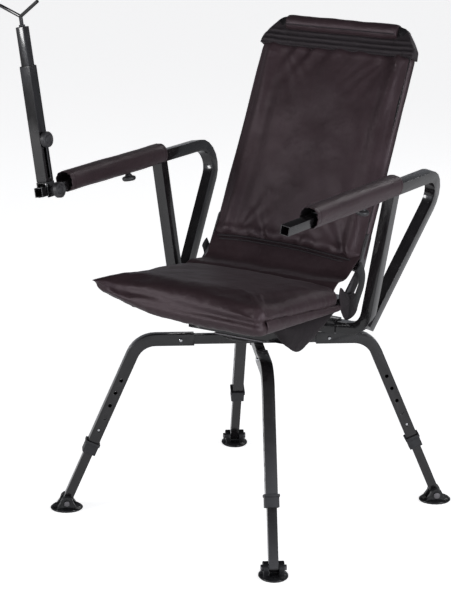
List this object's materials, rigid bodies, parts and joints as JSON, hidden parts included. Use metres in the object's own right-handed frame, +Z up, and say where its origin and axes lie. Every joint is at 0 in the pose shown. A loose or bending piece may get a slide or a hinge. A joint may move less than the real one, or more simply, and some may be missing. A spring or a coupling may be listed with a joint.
{
  "type": "blind swivel chair",
  "caption": "Padded folding chair that turns on a telescoping-leg base, with tubular arms, sliding arm extensions and an adjustable fork rest on a mast.",
  "frame": {"origin": "on the floor, level with the soles, under the middle of the chair's outline seen from above; the swivel axis is 21.3 mm from it towards +X, because the fork rest hangs out at -X", "axes": "+Z up along the swivel axis; the chair faces -Y at rest, so +X is the sitter's left and -X the sitter's right, where the fork rest is"},
  "size_m": [0.7728, 0.7791, 1.1408],
  "materials": {
    "coated_tube": "satin black powder coat",
    "steel": "zinc plated, dull",
    "bright_steel": "bright plated",
    "knob_plastic": "dark grey, fine texture",
    "foot_plastic": "black, semi-gloss",
    "fabric": "fine woven polyester over foam, very dark brown-grey",
    "webbing": "black nylon webbing"
  },
  "bodies": {
    "base": {"base_hub": "coated_tube", "swivel_lower_plate": "steel", "swivel_bearing_ring": "steel", "swivel_king_bolt": "steel", "leg_tube_rear_left": "coated_tube", "leg_tube_rear_right": "coated_tube", "leg_tube_front_right": "coated_tube", "leg_tube_front_left": "coated_tube", "leg_collar_rear_left": "knob_plastic", "leg_collar_rear_right": "knob_plastic", "leg_collar_front_right": "knob_plastic", "leg_collar_front_left": "knob_plastic"},
    "extension_rear_left": {"leg_extension_rear_left": "coated_tube"},
    "height_button_rear_left": {"height_button_rear_left": "bright_steel"},
    "foot_rear_left": {"foot_rear_left": "foot_plastic", "foot_bolt_rear_left": "steel"},
    "hub_button_rear_left": {"hub_button_rear_left": "bright_steel"},
    "extension_rear_right": {"leg_extension_rear_right": "coated_tube"},
    "height_button_rear_right": {"height_button_rear_right": "bright_steel"},
    "foot_rear_right": {"foot_rear_right": "foot_plastic", "foot_bolt_rear_right": "steel"},
    "hub_button_rear_right": {"hub_button_rear_right": "bright_steel"},
    "extension_front_right": {"leg_extension_front_right": "coated_tube"},
    "height_button_front_right": {"height_button_front_right": "bright_steel"},
    "foot_front_right": {"foot_front_right": "foot_plastic", "foot_bolt_front_right": "steel"},
    "hub_button_front_right": {"hub_button_front_right": "bright_steel"},
    "extension_front_left": {"leg_extension_front_left": "coated_tube"},
    "height_button_front_left": {"height_button_front_left": "bright_steel"},
    "foot_front_left": {"foot_front_left": "foot_plastic", "foot_bolt_front_left": "steel"},
    "hub_button_front_left": {"hub_button_front_left": "bright_steel"},
    "seat": {"swivel_upper_plate": "steel", "seat_frame": "coated_tube", "seat_pad": "fabric", "seat_pouch": "fabric", "side_strap_left": "webbing", "side_strap_right": "webbing", "hinge_bolt_left": "steel", "hinge_bolt_right": "steel", "arm_frame_left": "coated_tube", "arm_frame_right": "coated_tube", "arm_sleeve_left": "fabric", "arm_sleeve_right": "fabric"},
    "back": {"back_frame": "coated_tube", "back_pad": "fabric", "top_roll": "fabric", "lumbar_flap": "fabric", "hinge_plate_left": "steel", "hinge_plate_right": "steel"},
    "arm_extension_left": {"arm_extension_left": "coated_tube"},
    "arm_knob_left": {"arm_knob_left": "knob_plastic"},
    "arm_extension_right": {"arm_extension_right": "coated_tube"},
    "arm_knob_right": {"arm_knob_right": "knob_plastic"},
    "mast": {"mast_clevis": "coated_tube", "mast_outer": "coated_tube"},
    "tilt_knob": {"tilt_knob": "knob_plastic"},
    "mast_inner": {"mast_inner": "coated_tube"},
    "mast_knob": {"mast_knob": "knob_plastic"},
    "fork": {"fork": "coated_tube"}
  },
  "joints": [
    {"name": "seat_swivel", "type": "hinge", "parent": "base", "child": "seat", "pos_m": [0.0213, 0, 0.41], "axis": [0, 0, 1], "continuous": true},
    {"name": "leg_slide_rear_left", "type": "slide", "parent": "base", "child": "extension_rear_left", "axis": [0.3176, 0.2385, -0.9178], "range_m": [-0.093, 0]},
    {"name": "height_button_rear_left", "type": "slide", "parent": "extension_rear_left", "child": "height_button_rear_left", "axis": [0.6004, -0.7997, 0], "range_m": [-0.005, 0]},
    {"name": "foot_tilt_rear_left", "type": "hinge", "parent": "extension_rear_left", "child": "foot_rear_left", "pos_m": [0.35201, 0.2483, 0.02], "axis": [-0.6004, 0.7997, 0], "range_deg": [-30, 30]},
    {"name": "hub_button_rear_left", "type": "slide", "parent": "base", "child": "hub_button_rear_left", "axis": [0.6004, -0.7997, 0], "range_m": [-0.0052, 0]},
    {"name": "leg_slide_rear_right", "type": "slide", "parent": "base", "child": "extension_rear_right", "axis": [-0.2385, 0.3176, -0.9178], "range_m": [-0.093, 0]},
    {"name": "height_button_rear_right", "type": "slide", "parent": "extension_rear_right", "child": "height_button_rear_right", "axis": [-0.7997, -0.6004, 0], "range_m": [-0.005, 0]},
    {"name": "foot_tilt_rear_right", "type": "hinge", "parent": "extension_rear_right", "child": "foot_rear_right", "pos_m": [-0.227, 0.33071, 0.02], "axis": [-0.7997, -0.6004, 0], "range_deg": [-30, 30]},
    {"name": "hub_button_rear_right", "type": "slide", "parent": "base", "child": "hub_button_rear_right", "axis": [-0.7997, -0.6004, 0], "range_m": [-0.0052, 0]},
    {"name": "leg_slide_front_right", "type": "slide", "parent": "base", "child": "extension_front_right", "axis": [-0.3176, -0.2385, -0.9178], "range_m": [-0.093, 0]},
    {"name": "height_button_front_right", "type": "slide", "parent": "extension_front_right", "child": "height_button_front_right", "axis": [0.6004, -0.7997, 0], "range_m": [-0.005, 0]},
    {"name": "foot_tilt_front_right", "type": "hinge", "parent": "extension_front_right", "child": "foot_front_right", "pos_m": [-0.30941, -0.2483, 0.02], "axis": [0.6004, -0.7997, 0], "range_deg": [-30, 30]},
    {"name": "hub_button_front_right", "type": "slide", "parent": "base", "child": "hub_button_front_right", "axis": [0.6004, -0.7997, 0], "range_m": [-0.0052, 0]},
    {"name": "leg_slide_front_left", "type": "slide", "parent": "base", "child": "extension_front_left", "axis": [0.2385, -0.3176, -0.9178], "range_m": [-0.093, 0]},
    {"name": "height_button_front_left", "type": "slide", "parent": "extension_front_left", "child": "height_button_front_left", "axis": [-0.7997, -0.6004, 0], "range_m": [-0.005, 0]},
    {"name": "foot_tilt_front_left", "type": "hinge", "parent": "extension_front_left", "child": "foot_front_left", "pos_m": [0.2696, -0.33071, 0.02], "axis": [0.7997, 0.6004, 0], "range_deg": [-30, 30]},
    {"name": "hub_button_front_left", "type": "slide", "parent": "base", "child": "hub_button_front_left", "axis": [-0.7997, -0.6004, 0], "range_m": [-0.0052, 0]},
    {"name": "back_fold", "type": "hinge", "parent": "seat", "child": "back", "pos_m": [0.0213, 0.06, 0.485], "axis": [1, 0, 0], "range_deg": [0, 94]},
    {"name": "arm_slide_left", "type": "slide", "parent": "seat", "child": "arm_extension_left", "axis": [0, -1, 0], "range_m": [-0.09, 0.1]},
    {"name": "arm_slide_right", "type": "slide", "parent": "seat", "child": "arm_extension_right", "axis": [0, -1, 0], "range_m": [-0.035, 0.1]},
    {"name": "arm_knob_left", "type": "hinge", "parent": "seat", "child": "arm_knob_left", "pos_m": [0.3144, -0.064, 0.747], "axis": [0.1676, 0, 0.9858], "range_deg": [0, 360]},
    {"name": "arm_knob_right", "type": "hinge", "parent": "seat", "child": "arm_knob_right", "pos_m": [-0.2718, -0.064, 0.747], "axis": [-0.1676, 0, 0.9858], "range_deg": [0, 360]},
    {"name": "mast_tilt", "type": "hinge", "parent": "arm_extension_right", "child": "mast", "pos_m": [-0.2718, -0.362, 0.747], "axis": [0.9858, 0, 0.1676], "range_deg": [-20, 20]},
    {"name": "tilt_knob", "type": "hinge", "parent": "mast", "child": "tilt_knob", "pos_m": [-0.2718, -0.362, 0.747], "axis": [0.9858, 0, 0.1676], "range_deg": [0, 360]},
    {"name": "mast_height", "type": "slide", "parent": "mast", "child": "mast_inner", "axis": [-0.1676, 0, 0.9858], "range_m": [-0.072, 0.0015]},
    {"name": "mast_knob", "type": "hinge", "parent": "mast_inner", "child": "mast_knob", "pos_m": [-0.28957, -0.362, 0.8515], "axis": [0.9858, 0, 0.1676], "range_deg": [0, 360]},
    {"name": "fork_swivel", "type": "hinge", "parent": "mast_inner", "child": "fork", "pos_m": [-0.33231, -0.362, 1.10289], "axis": [-0.1676, 0, 0.9858], "continuous": true}
  ]
}
